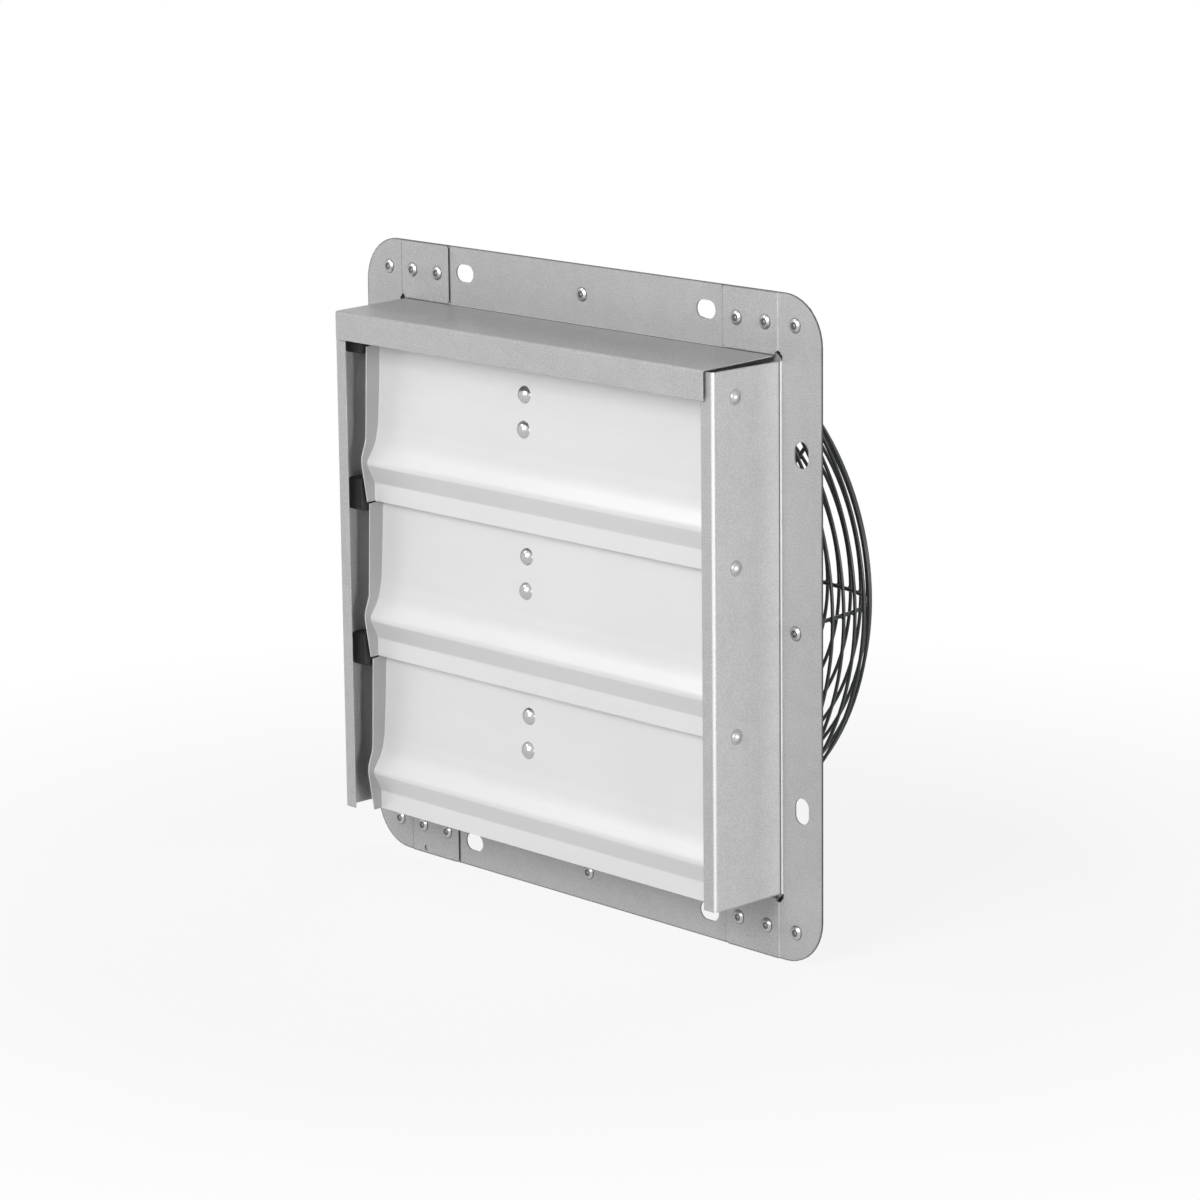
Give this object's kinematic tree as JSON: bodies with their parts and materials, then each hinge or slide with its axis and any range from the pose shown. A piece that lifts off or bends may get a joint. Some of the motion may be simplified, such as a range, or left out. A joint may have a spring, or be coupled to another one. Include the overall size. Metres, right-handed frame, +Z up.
{
  "type": "shutter-mounted wall exhaust fan",
  "caption": "Square wall exhaust fan: riveted sheet casing with hood, linked gravity louvres, collared fan panel, wire guard carrying the motor, and a sheet-blade impeller.",
  "frame": {"origin": "centre of the four horizontal wall slots, in the plane of the flange face that bears on the wall", "axes": "+X to the right seen from the louvre side, +Y from the louvres back to the guard and the room, +Z up"},
  "size_m": [0.38, 0.1701, 0.38],
  "materials": {
    "galvanised_sheet": "matte galvanised sheet with a fine grain",
    "panel_sheet": "plain galvanised sheet",
    "blade_sheet": "satin silver-white coated aluminium sheet",
    "rivet_steel": "bright zinc plate",
    "black_nylon": "moulded black nylon",
    "guard_coating": "black powder coat",
    "motor_paint": "black enamel",
    "laminated_steel": "stacked laminations with a varnish",
    "copper_winding": "enamelled copper wire",
    "bearing_steel": "ground steel",
    "cast_aluminium": "die-cast",
    "fan_aluminium": "mill-finish sheet",
    "screw_steel": "black oxide"
  },
  "bodies": {
    "casing": {"side_channel_left": "galvanised_sheet", "side_channel_right": "galvanised_sheet", "hood_panel": "galvanised_sheet", "sill_panel": "galvanised_sheet", "fan_panel": "panel_sheet", "corner_rivets": "rivet_steel", "panel_rivets": "rivet_steel", "pivot_rivets": "rivet_steel", "pivot_block_left_top": "black_nylon", "pivot_block_left_middle": "black_nylon", "pivot_block_left_bottom": "black_nylon", "pivot_block_right_top": "black_nylon", "pivot_block_right_middle": "black_nylon", "pivot_block_right_bottom": "black_nylon", "guard_spokes": "guard_coating", "guard_side_rings": "guard_coating", "guard_rings": "guard_coating", "guard_clips": "guard_coating", "guard_screws": "rivet_steel", "motor_plate": "guard_coating", "motor_rear_cover": "motor_paint", "motor_front_cover": "motor_paint", "stator_core": "laminated_steel", "stator_coils": "copper_winding", "motor_bolts": "rivet_steel", "motor_nuts": "rivet_steel", "cable_gland": "black_nylon", "bearing_front": "bearing_steel", "bearing_rear": "bearing_steel"},
    "louvre_top": {"blade_top": "blade_sheet", "hinge_pins_top": "rivet_steel", "link_bracket_top": "panel_sheet", "link_rivets_top": "rivet_steel"},
    "louvre_middle": {"blade_middle": "blade_sheet", "hinge_pins_middle": "rivet_steel", "link_bracket_middle": "panel_sheet", "link_rivets_middle": "rivet_steel"},
    "louvre_bottom": {"blade_bottom": "blade_sheet", "hinge_pins_bottom": "rivet_steel", "link_bracket_bottom": "panel_sheet", "link_rivets_bottom": "rivet_steel"},
    "tie_link": {"tie_bar": "galvanised_sheet", "tie_bar_pins": "rivet_steel"},
    "rotor": {"rotor_core": "laminated_steel", "motor_shaft": "bearing_steel", "fan_hub": "cast_aluminium", "hub_screw": "screw_steel", "fan_blade_1": "fan_aluminium", "fan_blade_2": "fan_aluminium", "fan_blade_3": "fan_aluminium", "fan_blade_4": "fan_aluminium", "fan_rivets": "rivet_steel"}
  },
  "joints": [
    {"name": "louvre_top_hinge", "type": "hinge", "parent": "casing", "child": "louvre_top", "pos_m": [0, -0.0326, 0.1363], "axis": [-1, 0, 0], "range_deg": [0, 60]},
    {"name": "louvre_middle_hinge", "type": "hinge", "parent": "casing", "child": "louvre_middle", "pos_m": [0, -0.0326, 0.041], "axis": [-1, 0, 0], "range_deg": [0, 60]},
    {"name": "louvre_bottom_hinge", "type": "hinge", "parent": "casing", "child": "louvre_bottom", "pos_m": [0, -0.0326, -0.0543], "axis": [-1, 0, 0], "range_deg": [0, 60]},
    {"name": "tie_pivot", "type": "hinge", "parent": "louvre_top", "child": "tie_link", "pos_m": [0, -0.0095, 0.1403], "axis": [-1, 0, 0], "range_deg": [-60, 0]},
    {"name": "fan_spin", "type": "hinge", "parent": "casing", "child": "rotor", "pos_m": [0, 0.026, 0], "axis": [0, 1, 0], "continuous": true}
  ],
  "couplings": [
    {"joint": "louvre_middle_hinge", "follows": "louvre_top_hinge", "ratio": 1},
    {"joint": "louvre_bottom_hinge", "follows": "louvre_top_hinge", "ratio": 1},
    {"joint": "tie_pivot", "follows": "louvre_top_hinge", "ratio": -1}
  ]
}
